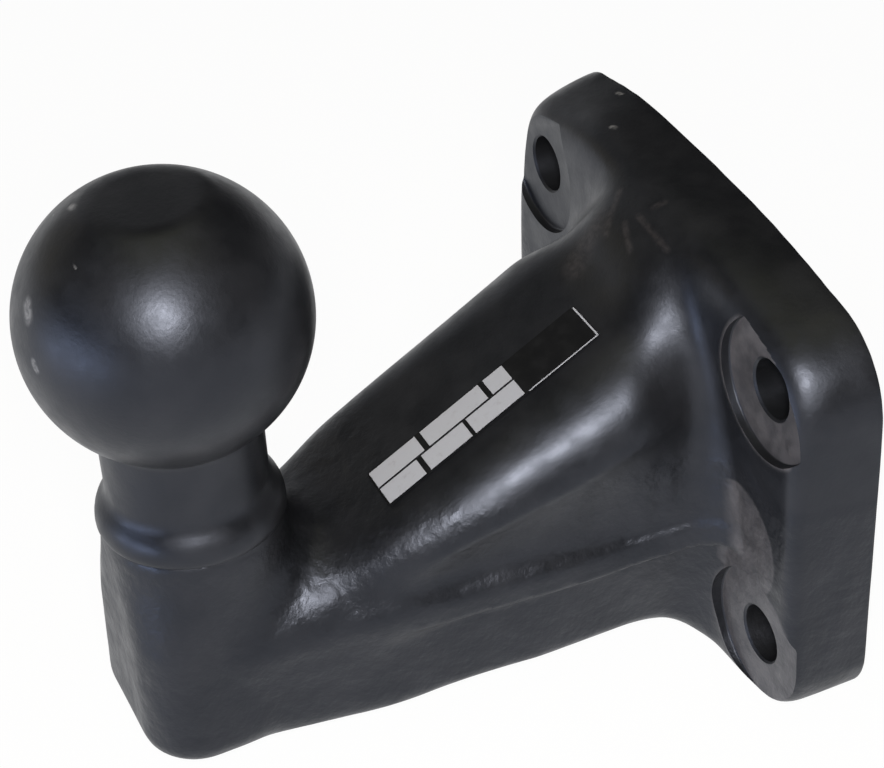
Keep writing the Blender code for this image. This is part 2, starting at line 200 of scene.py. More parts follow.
def curve(start: Pair, pull: Pair, end: Pair, steps: int) -> list[Pair]:
    """Points of a curve that leaves its start toward a third point and comes from it to its end."""
    points = []
    for k in range(steps + 1):
        t = k / steps
        a, b, c = (1.0 - t) ** 2, 2.0 * t * (1.0 - t), t * t
        points.append(tuple(a * x + b * y + c * z for x, y, z in zip(start, pull, end)))
    return points


def line(start: Pair, end: Pair, steps: int) -> list[Pair]:
    """Points of a straight line without its two ends."""
    return [tuple(a + (b - a) * k / steps for a, b in zip(start, end)) for k in range(1, steps)]


def metres(place: Point) -> Point:
    """A place given in millimetres."""
    return tuple(MM * value for value in place)


def blend(value: float, start: float, end: float) -> float:
    """Smooth 0 to 1 step between two values."""
    t = min(max((value - start) / (end - start), 0.0), 1.0)
    return t * t * (3.0 - 2.0 * t)


def fillet_rise(step: float, radius: float) -> float:
    """Rise of a concave fillet at a distance past its start, stopped just short of upright."""
    step = min(max(step, 0.0), 0.975 * radius)
    return radius - math.sqrt(radius * radius - step * step)


def combine(target: bpy.types.Object, tool: bpy.types.Object, cut: Cut) -> None:
    """Cuts or joins a tool and drops it.

    Args:
        target: The object that is changed.
        tool: The closed object that changes it.
        cut: Whether the tool is joined on or taken away.
    """
    step = target.modifiers.new(tool.name, "BOOLEAN")
    step.operation = cut.value
    step.solver = "EXACT"
    step.object = tool
    bake_modifiers(target)
    bpy.data.objects.remove(tool, do_unlink=True)


def bake_modifiers(item: bpy.types.Object) -> None:
    """Puts an object's evaluated mesh in place of its own."""
    bpy.context.view_layer.update()
    graph = bpy.context.evaluated_depsgraph_get()
    made = bpy.data.meshes.new_from_object(item.evaluated_get(graph))
    old = item.data
    item.modifiers.clear()
    item.data = made
    made.name = item.name
    bpy.data.meshes.remove(old)


def read_rows(source: object, key: str) -> np.ndarray:
    """A mesh's points or its point normals as rows."""
    flat = np.empty(len(source) * 3, np.float32)
    source.foreach_get(key, flat)
    return flat.reshape(-1, 3).astype(float)


def write_points(mesh: bpy.types.Mesh, points: np.ndarray) -> None:
    """Puts rows of points back into the mesh."""
    mesh.vertices.foreach_set("co", points.astype(np.float32).ravel())
    mesh.update()


def relax(mesh: bpy.types.Mesh, weight: np.ndarray, rounds: int, back: float = 0.0) -> None:
    """Evens out a mesh by moving points toward the mean of their neighbours.

    Args:
        mesh: The mesh.
        weight: How much each point takes part, 0 to 1.
        rounds: How many times.
        back: Share of a second, opposite move that keeps the volume.
    """
    count = len(mesh.vertices)
    flat = np.empty(len(mesh.edges) * 2, np.int32)
    mesh.edges.foreach_get("vertices", flat)
    ends = flat.reshape(-1, 2)
    degree = np.maximum(np.bincount(flat, minlength=count), 1)[:, None]
    points = read_rows(mesh.vertices, "co")
    for _ in range(rounds):
        for share in (0.5, -back):
            if share == 0.0:
                continue
            total = np.empty_like(points)
            for axis in range(3):
                column = points[:, axis]
                total[:, axis] = np.bincount(ends[:, 0], column[ends[:, 1]], count)
                total[:, axis] += np.bincount(ends[:, 1], column[ends[:, 0]], count)
            points += share * weight[:, None] * (total / degree - points)
    write_points(mesh, points)


def near(points: np.ndarray, centre: Point, reach: float) -> np.ndarray:
    """Bell-shaped weight round a centre, 1 in its middle and 0.37 at the reach."""
    away = np.linalg.norm(points - np.array(centre), axis=1)
    return np.exp(-((away / reach) ** 2))


def along(points: np.ndarray, path: list[Point], reach: float) -> np.ndarray:
    """Bell-shaped weight along a line and its mirror image across x = 0, tapered at both ends.

    Args:
        points: The points.
        path: The line's corners, on the +X side.
        reach: Distance at which the weight is 0.37.

    Returns:
        One weight per point.
    """
    sided = points.copy()
    sided[:, 0] = np.abs(sided[:, 0])
    best = np.full(len(points), np.inf)
    taper = np.zeros(len(points))
    count = len(path) - 1
    for k in range(count):
        start, end = np.array(path[k]), np.array(path[k + 1])
        span = end - start
        share = np.clip((sided - start) @ span / (span @ span), 0.0, 1.0)
        away = np.linalg.norm(sided - start - share[:, None] * span, axis=1)
        closer = away < best
        best[closer] = away[closer]
        place = (k + share[closer]) / count
        taper[closer] = np.sin(math.pi * place) ** 0.5
    return taper * np.exp(-((best / reach) ** 2))


def cloud(points: np.ndarray, grain: float, shift: float) -> np.ndarray:
    """Smooth noise of about -1 to 1 at many points.

    Args:
        points: The points.
        grain: Size of the noise's features in metres.
        shift: Offset that picks another part of the noise.
    """
    scaled = points / grain + shift
    return np.array([noise.noise(Vector(row)) for row in scaled])


# Sizes taken from the record


@dataclass(frozen=True)
class Layout:
    """Where the main features lie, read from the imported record's mounts."""

    ball_reach: float
    ball_height: float
    pitch_x: float
    pitch_z: float
    seat_depth: float

    @classmethod
    def from_record(cls, record: dict) -> "Layout":
        """Reads the mounts.

        The ball's flat top lies BALL_FLAT above its centre, and a seat's mount point lies SEAT_SHIFT
        from its hole's axis each way.
        """
        places = {mount["name"]: mount["pos_m"] for mount in record["mounts"]}
        top = places["ball_top"]
        seat = places["seat_upper_right"]
        return cls(
            ball_reach=-top[1],
            ball_height=top[2] - BALL_FLAT,
            pitch_x=2.0 * (seat[0] - SEAT_SHIFT),
            pitch_z=2.0 * (seat[2] - SEAT_SHIFT),
            seat_depth=-seat[1],
        )


# The forging's sections


@dataclass
class CouplingBall:
    """Turned ball, its neck and the collar at the neck's foot.

    The collar is given as pairs of how far it stands out from the neck and its height above the foot,
    in millimetres.
    """

    layout: Layout
    diameter: float = 50.0 * MM
    top_cut: float = 2.0 * MM
    rim_turn: float = 4.5
    rim_width: float = 2.2 * MM
    neck_diameter: float = 28.6 * MM
    neck_turn: float = 1.6
    neck_blend: float = 1.2 * MM
    neck_drop: float = 36.0 * MM
    foot_height: float = 6.5 * MM
    foot_spread: float = 1.5 * MM
    collar: tuple[Pair, ...] = (
        (0.0, 9.8), (0.12, 8.9), (0.40, 8.0), (0.86, 7.15), (1.38, 6.35), (1.84, 5.5), (2.18, 4.6),
        (2.38, 3.7), (2.46, 2.8), (2.42, 2.1), (2.25, 1.7), (2.0, 1.5), (1.6, -6.0),
    )
    steps: int = 192

    @property
    def neck_radius(self) -> float:
        """Radius of the plain neck."""
        return 0.5 * self.neck_diameter

    @property
    def centre(self) -> Point:
        """The ball's centre."""
        return (0.0, -self.layout.ball_reach, self.layout.ball_height)

    def ball_profile(self) -> list[Pair]:
        """Ball, neck and collar from the top down, ending inside the block."""
        radius = 0.5 * self.diameter
        neck = self.neck_radius
        low = -math.sqrt(radius ** 2 - neck ** 2)
        start = math.degrees(math.asin(1.0 - self.top_cut / radius))
        end = -math.degrees(math.acos(neck / radius)) + self.neck_turn
        body = arc(0.0, 0.0, radius, start - self.rim_turn, end, 96)
        flat = radius - self.top_cut
        inner = math.sqrt(radius ** 2 - flat ** 2) - self.rim_width
        outer, height = body[0]
        slope = outer / height
        rim = curve((inner, flat), (outer - (flat - height) / slope, flat), body[0], 12)
        waist = curve(body[-1], (neck, low), (neck, low - self.neck_blend), 6)
        foot = self.neck_drop + self.foot_height
        collar = [(neck + out * MM, rise * MM - foot) for out, rise in self.collar]
        return rim[:-1] + body + waist[1:] + collar

    def build_ball(self) -> bpy.types.Object:
        """Makes the turned ball with its neck and collar."""
        return lathe("turned_ball", self.ball_profile(), self.steps, self.centre, "Z")


@dataclass
class BaseBlock:
    """Upright block under the neck."""

    ball: CouplingBall
    height: float = 43.3 * MM
    step_side: float = 2.3 * MM
    step_end: float = 1.6 * MM
    draft_side: float = 2.1 * MM
    draft_end: float = 1.2 * MM
    corner: float = 10.0 * MM
    corner_turned: float = 5.4 * MM
    edge_low: float = 6.0 * MM
    edge_top: float = 2.0 * MM
    crest: float = 2.7 * MM

    @property
    def top(self) -> float:
        """Height of the block's top."""
        return self.ball.layout.ball_height - self.ball.neck_drop - self.ball.foot_height

    @property
    def low(self) -> float:
        """Height of the block's bottom."""
        return self.top - self.height

    def half(self, z: float) -> float:
        """Half width at a height."""
        share = (self.top - z) / self.height
        return self.ball.neck_radius + self.step_side + self.draft_side * share

    def ring(self, z: float, inset: float) -> list[Point]:
        """One level of the block: a rounded outline round the ball's axis."""
        share = (self.top - z) / self.height
        half = self.half(z) - inset
        end = self.ball.neck_radius + self.step_end + self.draft_end * share - inset
        corner = self.corner + self.corner_turned * (1.0 - blend(share, 0.0, 0.45)) - 0.5 * inset
        points = arc(half - corner, -end + corner, corner, 0.0, -90.0, 20)
        points += arc(-half + corner, -end + corner, corner, -90.0, -180.0, 20)
        points += arc(0.0, 0.0, half, 180.0, 0.0, 48)
        return [(x, y - self.ball.layout.ball_reach, z) for x, y in points]

    def build(self) -> bpy.types.Object:
        """Makes the block with rounded top and bottom edges."""
        high = self.top + self.crest - self.edge_top
        low = self.low + self.edge_low
        levels = arc(-self.edge_top, high, self.edge_top, 90.0, 0.0, 8)
        levels += line((0.0, high), (0.0, low), 12)
        levels += arc(-self.edge_low, low, self.edge_low, 0.0, -90.0, 16)
        return loft("base_block", [self.ring(z, -out) for out, z in levels])


@dataclass
class FlangePlate:
    """Thick flange before its holes are drilled."""

    layout: Layout
    thickness: float = 16.0 * MM
    margin_x: float = 12.7 * MM
    margin_z: float = 16.0 * MM
    crown_drop: float = 2.6 * MM
    crown_drop_far: float = 1.8 * MM
    top_rise: float = 0.5 * MM
    top_fall: float = 0.031
    corner_top: float = 16.5 * MM
    corner_top_far: float = 11.2 * MM
    corner_low: float = 13.0 * MM
    edge_side: float = 2.6 * MM
    edge_low: float = 3.6 * MM
    edge_top: float = 3.6 * MM
    corner_draft: float = 3.4 * MM
    rear_stock: float = 1.5 * MM

    @property
    def width(self) -> float:
        """Overall width."""
        return self.layout.pitch_x + 2.0 * self.margin_x

    @property
    def height(self) -> float:
        """Overall height."""
        return self.layout.pitch_z + 2.0 * self.margin_z

    def crown(self, x: float, upper: bool) -> float:
        """Height of the top or bottom edge at x."""
        half = 0.5 * self.height
        out = (x / (0.5 * self.width - self.corner_top)) ** 2
        if upper:
            bend = (self.crown_drop + self.top_rise) * out if x > 0.0 else self.crown_drop_far * out ** 2
            return half + self.top_rise - bend - self.top_fall * x
        return -half + 0.5 * self.crown_drop * out

    def corner(self, sx: int, sz: int, side: float, inset: float) -> tuple[float, float, float]:
        """Centre and radius of one rounded corner."""
        if sz > 0:
            radius = self.corner_top if sx > 0 else self.corner_top_far
        else:
            radius = self.corner_low
        radius -= 0.5 * side
        cx = sx * (0.5 * self.width - side - radius)
        cz = self.crown(cx, sz > 0) - sz * (inset + radius)
        return cx, cz, radius

    def ring(self, y: float, side: float, low: float, high: float) -> list[Point]:
        """Outline at one depth, set in by side, low and high."""
        points = []
        corners = ((1, 1, high), (-1, 1, high), (-1, -1, low), (1, -1, low))
        for turn, (sx, sz, edge) in enumerate(corners):
            cx, cz, radius = self.corner(sx, sz, side, edge)
            points += arc(cx, cz, radius, 90.0 * turn, 90.0 * turn + 90.0, 20)
            if sx == sz:
                for k in range(1, 24):
                    x = cx * (1.0 - k / 12.0)
                    points.append((x, self.crown(x, sz > 0) - sz * edge))
        lean = self.corner_draft * min(max(-y / self.thickness, 0.0), 1.0) ** 1.3
        drafted = []
        for x, z in points:
            pull = lean * blend(abs(x) + 0.5 * z, 44.0 * MM, 62.0 * MM) if z > 0.0 else 0.0
            drafted.append((x - math.copysign(0.78 * pull, x), y, z - 0.62 * pull))
        return drafted

    @staticmethod
    def inset(depth: float, radius: float) -> float:
        """Set-in of a rounded edge at a depth behind the front."""
        rest = max(radius - depth, 0.0) / radius
        return radius * (1.0 - math.sqrt(1.0 - rest * rest))

    def build(self) -> bpy.types.Object:
        """Makes the plate with stock left on its rear."""
        rings = []
        for k in range(25):
            depth = 0.5 * self.thickness * (k / 24.0) ** 2
            insets = [self.inset(depth, r) for r in (self.edge_side, self.edge_low, self.edge_top)]
            rings.append(self.ring(depth - self.thickness, *insets))
        rings.append(self.ring(self.rear_stock, 0.0, 0.0, 0.0))
        return loft("flange_plate", rings)


@dataclass
class PartingRidge:
    """Ridge that the forging dies leave along both flanks."""

    drop: float = 66.0 * MM
    rise: float = 5.7 * MM
    rise_end: float = 34.0 * MM
    sink: float = 0.5 * MM
    grow: float = 5.7 * MM
    grow_late: float = 2.2 * MM
    late_end: float = 68.0 * MM
    face: float = 5.2 * MM
    lean: float = 0.6 * MM
    step: float = 1.3 * MM
    nose: float = 1.0 * MM
    sweep_length: float = 23.8 * MM
    sweep_radius: float = 43.0 * MM
    flare: float = 7.0 * MM


@dataclass
class WedgeArm:
    """Arm whose top climbs evenly from the block to the flange."""

    block: BaseBlock
    flange: FlangePlate
    ridge: PartingRidge = field(default_factory=PartingRidge)
    back: float = 6.0 * MM
    top_drop: float = 62.2 * MM
    step: float = 0.4 * MM
    to_bolt: float = 12.7 * MM
    roll_start: float = 7.5 * MM
    roll_end: float = 17.5 * MM
    roll_swell: float = 1.8 * MM
    swell_in: Pair = (12.0 * MM, 46.0 * MM)
    swell_out: Pair = (66.0 * MM, 88.0 * MM)
    undercut: float = 2.2 * MM
    roll_arc: float = 82.0
    root_length: float = 16.3 * MM
    root_radius: float = 20.0 * MM
    root_angle: float = 66.0
    root_narrow: float = 3.0 * MM
    root_roll: float = 6.0 * MM
    tongue: Pair = (12.0 * MM, 28.0 * MM)
    tongue_far: Pair = (7.0 * MM, 21.0 * MM)
    crest_radius: float = 9.4 * MM
    crest_drop: float = 2.8 * MM
    waist: float = 0.6 * MM
    flare_top: float = 6.0 * MM
    flare_side: float = 13.0 * MM
    flare_low: float = 8.0 * MM
    saddle_radius: float = 9.0 * MM
    saddle_half: float = 16.5 * MM
    under_radius: float = 27.0 * MM
    under_lift: float = 1.6 * MM
    low_half: float = 22.2 * MM
    low_edge: float = 5.0 * MM
    low_draft: float = 0.8 * MM
    low_belly: float = 1.4 * MM
    low_belly_end: float = 56.0 * MM

    def __post_init__(self) -> None:
        """Works out the places that follow from the flange and the ball."""
        layout = self.block.ball.layout
        self.reach = layout.ball_reach
        self.end = self.reach - self.flange.thickness
        self.root_start = self.end - self.root_length
        self.start_height = layout.ball_height - self.top_drop
        self.ridge_base = layout.ball_height - self.ridge.drop
        self.half_end = 0.5 * layout.pitch_x - self.to_bolt
        self.slope = self.top_slope()

    def flare(self, u: float, radius: float) -> float:
        """Growth of a concave fillet that runs into the flange."""
        return fillet_rise(u - (self.end - 0.975 * radius), radius)

    def root_rise(self, u: float, slope: float) -> float:
        """Rise of the top past the start of its root: a concave climb, then the crest."""
        steep = math.radians(self.root_angle)
        start = math.atan(slope)
        climb = self.root_radius * (math.sin(steep) - math.sin(start))
        step = max(u - self.root_start, 0.0)
        if step <= climb:
            turn = math.asin(math.sin(start) + step / self.root_radius)
            return self.root_radius * (math.cos(start) - math.cos(turn))
        turn = math.asin(max(math.sin(steep) - (step - climb) / self.crest_radius, 0.0))
        foot = self.root_radius * (math.cos(start) - math.cos(steep))
        return foot + self.crest_radius * (math.cos(turn) - math.cos(steep))

    def top_slope(self) -> float:
        """Slope that brings the crest just under the flange's top edge."""
        crest = 0.5 * self.flange.height - self.crest_drop
        slope = 0.5
        for _ in range(12):
            slope = (crest - self.root_rise(self.end, slope) - self.start_height) / self.root_start
        return slope

    def plane(self, u: float) -> float:
        """Height of the plane that the arm's top follows."""
        return self.start_height + self.slope * u

    def climb(self, u: float) -> float:
        """How far the root's middle has climbed off that plane."""
        return self.root_rise(u, self.slope) - self.slope * max(u - self.root_start, 0.0)

    def low(self, u: float) -> float:
        """Height of the underside, which sweeps down to the flange's low edge."""
        sweep = fillet_rise(u - self.root_start, self.under_radius)
        full = fillet_rise(self.end - self.root_start, self.under_radius)
        fall = self.block.low - full - (self.under_lift - 0.5 * self.flange.height)
        return self.block.low - fall * max(u, 0.0) / self.end - sweep

    def saddle(self, u: float) -> float:
        """Rise of the arm's top toward the back of the foot."""
        ball = self.block.ball
        return fillet_rise(ball.neck_radius + ball.foot_spread + self.saddle_radius - u, self.saddle_radius)

    def sweep(self, u: float) -> float:
        """Growth of the parting ridge toward the flange."""
        start = self.end - self.ridge.sweep_length
        return max(u - start, 0.0) ** 2 / (2.0 * self.ridge.sweep_radius)

    def ridge_height(self, u: float) -> float:
        """Height of the ridge's shoulder."""
        out = blend(u, -0.1 * self.ridge.rise_end, self.ridge.rise_end)
        return self.ridge_base + self.ridge.rise * out + 0.8 * self.sweep(u)

    def ridge_half(self, u: float) -> float:
        """Half width of the parting ridge."""
        ridge = self.ridge
        grow = ridge.grow * blend(u, -0.1 * ridge.rise_end, ridge.rise_end)
        grow += ridge.grow_late * blend(u, ridge.rise_end, ridge.late_end)
        start = self.block.half(self.ridge_base) - ridge.sink
        return start + grow + self.sweep(u) + self.flare(u, ridge.flare)

    def upper_edge(self, u: float, tongue: Pair, full: float) -> list[Pair]:
        """Top's centre to the end of the rolled edge.

        Args:
            u: The station.
            tongue: Where the root's climb starts to fade and where it has gone.
            full: How far the roll swells out, 0 to 1.
        """
        top = self.plane(u)
        root = blend(u, self.root_start, self.end)
        side = self.ridge_half(u)
        room = max(top - self.ridge_height(u), self.ridge.lean)
        start = self.block.ball.neck_radius + self.block.step_side + self.step
        half = start + (self.half_end - start) * max(u, 0.0) / self.end
        half += self.flare(u, self.flare_top) - self.root_narrow * root
        half += self.roll_swell * full
        limit = side - self.ridge.lean + 0.6 * max(room - 0.6 * self.roll_end, 0.0)
        half = min(half, limit)
        grown = blend(u, 0.2 * self.end, self.end)
        roll = self.roll_start + (self.roll_end - self.roll_start) * grown + self.root_roll * root
        roll = min(roll, 0.62 * room)
        flat = half - roll - self.ridge.nose * (1.0 - blend(roll, 0.0, self.roll_start))
        edge = [(flat * k / 24.0, top) for k in range(24)]
        edge += [(flat + x, top - roll + z) for x, z in arc(0.0, 0.0, roll, 90.0, 90.0 - self.roll_arc, 24)]
        points = []
        for x, z in edge:
            fade = max(1.0 - (x / self.saddle_half) ** 2, 0.0) ** 2
            share = 1.0 - blend(x, *tongue)
            points.append((x, z + self.saddle(u) * fade + self.climb(u) * share))
        return points

    def fullness(self, u: float) -> float:
        """How far the rolled edge swells out over the flank, between the block and the flange."""
        return blend(u, *self.swell_in) * (1.0 - blend(u, *self.swell_out))

    def flank(self, u: float, start: Pair, full: float) -> list[Pair]:
        """Concave flank from the rolled edge down to the ridge's shoulder."""
        x0, z0 = start
        side = self.ridge_half(u)
        shoulder = self.ridge_height(u)
        waist = x0 + self.waist + self.flare(u, self.flare_side) - self.flare(u, self.flare_top)
        x1 = max(x0, min(waist, side + self.flare(u, self.flare_side)))
        tucked = min(x0, side - self.ridge.nose) - self.undercut
        x1 += (tucked - x1) * full
        z1 = shoulder + 0.30 * (z0 - shoulder)
        return curve(start, (x1, z1), (side - self.ridge.nose, shoulder), 24)[1:]

    def lower_side(self, u: float) -> list[Pair]:
        """Ridge's face, the step under it, the lower wall and its rounded edge."""
        ridge = self.ridge
        out = blend(u, 0.1 * ridge.rise_end, ridge.rise_end)
        side = self.ridge_half(u)
        shoulder = self.ridge_height(u)
        edge = shoulder - ridge.face
        step = ridge.step * out + 0.5 * self.sweep(u)
        wall = side - step - 0.2 * ridge.nose
        neck = 0.6 * self.block.ball.neck_radius
        belly = self.low_belly * blend(u, -2.0 * self.back, 0.3 * neck)
        belly *= 1.0 - blend(u, neck, self.low_belly_end)
        low = self.low(u) + self.step * (1.0 - out) - belly
        foot = min(wall - self.low_draft, self.low_half) + self.flare(u, self.flare_low)
        nose = ridge.nose
        upper = edge - 0.7 * nose
        lip = side + ridge.lean * out
        points = arc(side - nose, shoulder - nose, nose, 78.0, 0.0, 6)
        points += [(lip, edge + 0.3 * nose), (lip - 0.3 * step, edge - 0.2 * nose), (wall, upper)]
        points += line((wall, upper), (foot, low + self.low_edge), 8)
        points += arc(foot - self.low_edge, low + self.low_edge, self.low_edge, 0.0, -90.0, 12)
        return points + line((foot - self.low_edge, low), (0.0, low), 6)

    def side(self, u: float, tongue: Pair, full: float) -> list[Pair]:
        """One side of the section, from the top's centre round to the bottom's."""
        points = self.upper_edge(u, tongue, full)
        points += self.flank(u, points[-1], full)
        return points + self.lower_side(u)

    def ring(self, u: float) -> list[Point]:
        """Closed section of the arm."""
        right = self.side(u, self.tongue, self.fullness(u))
        bottom = [(0.0, right[-1][1])]
        left = [(-x, z) for x, z in reversed(self.side(u, self.tongue_far, 0.0)[1:])]
        return [(x, u - self.reach, z) for x, z in right + bottom + left]

    def build(self) -> bpy.types.Object:
        """Makes the arm from inside the block into the flange."""
        stations = [-self.back * (1.0 - k / 6.0) for k in range(6)]
        span = self.end - 1.17 * self.root_length
        stations += [span * k / 100.0 for k in range(100)]
        for k in range(41):
            turn = math.radians(90.0 * k / 40.0)
            stations.append(self.end - 1.17 * self.root_length * (1.0 - math.sin(turn)))
        rings = [self.ring(u) for u in stations]
        rings.append([(x, y + 0.25 * self.flange.thickness, z) for x, y, z in rings[-1]])
        return loft("wedge_arm", rings)


# Surface character and machining


@dataclass
class ForgedRelief:
    """Unevenness that the dies and the trimming leave on the forging.

    The heel is a swell from the block's side up to the rolled edge; its places are in millimetres.
    """

    arm: WedgeArm
    wave: float = 0.07 * MM
    wave_grain: float = 12.0 * MM
    ripple: float = 0.022 * MM
    ripple_grain: float = 3.6 * MM
    heel: tuple[Point, ...] = ((17.7, -106.5, -18.0), (17.9, -97.0, -12.0), (19.0, -86.0, -6.6))
    heel_rise: float = 1.15 * MM
    heel_reach: float = 4.0 * MM
    bead_rise: float = 1.15 * MM
    bead_reach: float = 2.9 * MM
    bead_start: float = 5.0 * MM
    bead_step: float = 3.2 * MM
    bead_points: int = 22
    bead_rounds: int = 14

    def bead(self) -> list[Point]:
        """Line of the parting ridge's upper edge."""
        arm = self.arm
        points = []
        for k in range(self.bead_points):
            u = self.bead_start + self.bead_step * k
            points.append((arm.ridge_half(u), u - arm.reach, arm.ridge_height(u) + 0.3 * arm.ridge.nose))
        return points

    def apply(self, mesh: bpy.types.Mesh) -> None:
        """Moves the mesh's points along their normals.

        Args:
            mesh: The blank's even, closed mesh.
        """
        points = read_rows(mesh.vertices, "co")
        normals = read_rows(mesh.vertex_normals, "vector")
        lift = self.wave * cloud(points, self.wave_grain, 3.7)
        lift += self.ripple * cloud(points, self.ripple_grain, 11.3)
        heel = along(points, [metres(place) for place in self.heel], self.heel_reach)
        bead = along(points, self.bead(), self.bead_reach)
        lift += self.heel_rise * heel + self.bead_rise * bead
        write_points(mesh, points + normals * lift[:, None])
        relax(mesh, bead, self.bead_rounds)


@dataclass
class Machining:
    """Rear face, bolt seats and holes cut into the forged blank."""

    layout: Layout
    hole_diameter: float = 11.0 * MM
    hole_chamfer: float = 0.4 * MM
    seat_diameter: float = 27.0 * MM
    seat_clear: float = 14.0 * MM
    seat_corner: float = 0.4 * MM

    def centres(self) -> list[Pair]:
        """Centres (x, z) of the four holes."""
        half_x = 0.5 * self.layout.pitch_x
        half_z = 0.5 * self.layout.pitch_z
        return [(sx * half_x, sz * half_z) for sz in (1, -1) for sx in (-1, 1)]

    def rear_tool(self) -> bpy.types.Object:
        """Slab behind the rear face."""
        reach = 80.0 * MM
        deep = 10.0 * MM
        front = [(-reach, 0.0, -reach), (reach, 0.0, -reach), (reach, 0.0, reach), (-reach, 0.0, reach)]
        back = [(x, deep, z) for x, _, z in front]
        return loft("rear_tool", [front, back])

    def seat_tool(self, x: float, z: float) -> bpy.types.Object:
        """Round tool of one seat, with a small corner radius."""
        radius = 0.5 * self.seat_diameter
        depth = -self.layout.seat_depth
        corner = self.seat_corner
        profile = arc(radius - corner, depth - corner, corner, 90.0, 0.0, 4)
        profile.append((radius, depth - self.seat_clear))
        return lathe("seat_tool", profile, 128, (x, 0.0, z), "Y")

    def hole_tool(self, x: float, z: float) -> bpy.types.Object:
        """Drill of one hole with small chamfers at seat and rear face."""
        radius = 0.5 * self.hole_diameter
        wide = radius + self.hole_chamfer
        past = 4.0 * self.hole_chamfer
        depth = -self.layout.seat_depth
        profile = [
            (wide + past, past), (wide, 0.0), (radius, -self.hole_chamfer),
            (radius, depth + self.hole_chamfer), (wide, depth), (wide + past, depth - past),
        ]
        return lathe("hole_tool", profile, 96, (x, 0.0, z), "Y")

    def cut(self, blank: bpy.types.Object) -> None:
        """Cuts the rear face, the seats and the holes."""
        combine(blank, self.rear_tool(), Cut.REMOVE)
        for x, z in self.centres():
            combine(blank, self.seat_tool(x, z), Cut.REMOVE)
            combine(blank, self.hole_tool(x, z), Cut.REMOVE)


# Finishes


class NodeSheet:
    """Lays out the nodes of a material or a world."""

    def __init__(self, owner: bpy.types.ID, shader: str = "Principled BSDF") -> None:
        """Starts from the owner's plain shader."""
        owner.use_nodes = True
        self.owner = owner
        self.tree = owner.node_tree
        self.shader = self.tree.nodes[shader]
        self.place = self.node("TexCoord").outputs["Object"]

    def node(self, kind: str, feeds: dict | None = None, **values: object) -> bpy.types.Node:
        """Adds a shader node.

        Args:
            kind: Its kind, without the prefix that all share.
            feeds: For its inputs, the sockets or plain values that feed them.
            values: Its own properties.

        Returns:
            The node.
        """
        made = self.tree.nodes.new("ShaderNode" + kind)
        for key, value in values.items():
            setattr(made, key, value)
        self.feed(made, feeds or {})
        return made

    def feed(self, node: bpy.types.Node, feeds: dict) -> None:
        """Feeds a node's inputs from sockets or plain values."""
        for key, value in feeds.items():
            if isinstance(value, bpy.types.NodeSocket):
                self.tree.links.new(value, node.inputs[key])
            else:
                node.inputs[key].default_value = value

    def noise(self, grain: float, detail: float = 2.0, rough: float = 0.5) -> object:
        """Noise whose features are about one grain wide."""
        feeds = {"Vector": self.place, "Scale": 1.0 / grain, "Detail": detail, "Roughness": rough}
        return self.node("TexNoise", feeds).outputs["Fac"]

    def math(self, kind: str, first: object, second: object, clamp: bool = False) -> object:
        """Adds a Math node; an input may be a socket or a number."""
        return self.node("Math", {0: first, 1: second}, operation=kind, use_clamp=clamp).outputs[0]

    def vector(self, kind: str, first: object, second: object) -> bpy.types.Node:
        """Adds a Vector Math node; an input may be a socket or three numbers."""
        return self.node("VectorMath", {0: first, 1: second}, operation=kind)

    def ramp(self, value: object, low: float, high: float, start: float = 0.0, end: float = 1.0) -> object:
        """Maps a value smoothly from one range to another."""
        feeds = {"Value": value, "From Min": low, "From Max": high, "To Min": start, "To Max": end}
        return self.node("MapRange", feeds, interpolation_type="SMOOTHSTEP").outputs["Result"]

    def mix(self, share: object, first: object, second: object) -> object:
        """Mixes two colours, each a socket or three numbers."""
        # The Mix node keeps its colours in inputs 6 and 7 and output 2.
        tones = [(*tone, 1.0) if isinstance(tone, tuple) else tone for tone in (first, second)]
        return self.node("Mix", {0: share, 6: tones[0], 7: tones[1]}, data_type="RGBA").outputs[2]

    def level(self, axis: str, low: float, high: float) -> object:
        """0 below one place on an axis, 1 above another."""
        return self.ramp(self.node("SeparateXYZ", {0: self.place}).outputs[axis], low, high)

    def away(self, start: object, end: object) -> object:
        """Distance between two places, each a socket or three numbers."""
        return self.vector("DISTANCE", start, end).outputs["Value"]

    def streak(self, start: Point, end: Point, reach: float) -> object:
        """1 along a line between two places, falling to 0 at the reach."""
        span = Vector(end) - Vector(start)
        rel = self.vector("SUBTRACT", self.place, start).outputs[0]
        dot = self.vector("DOT_PRODUCT", rel, span / span.length_squared).outputs["Value"]
        share = self.math("ADD", dot, 0.0, True)
        foot = self.node("VectorMath", {0: span, "Scale": share}, operation="SCALE").outputs[0]
        return self.ramp(self.away(rel, foot), 0.2 * reach, reach, 1.0, 0.0)

    def bump(self, height: object, depth: float) -> None:
        """Adds a bump, stacked on any earlier one."""
        feeds = {"Distance": depth, "Height": height}
        earlier = self.shader.inputs["Normal"].links
        if earlier:
            feeds["Normal"] = earlier[0].from_socket
        self.feed(self.shader, {"Normal": self.node("Bump", feeds).outputs["Normal"]})


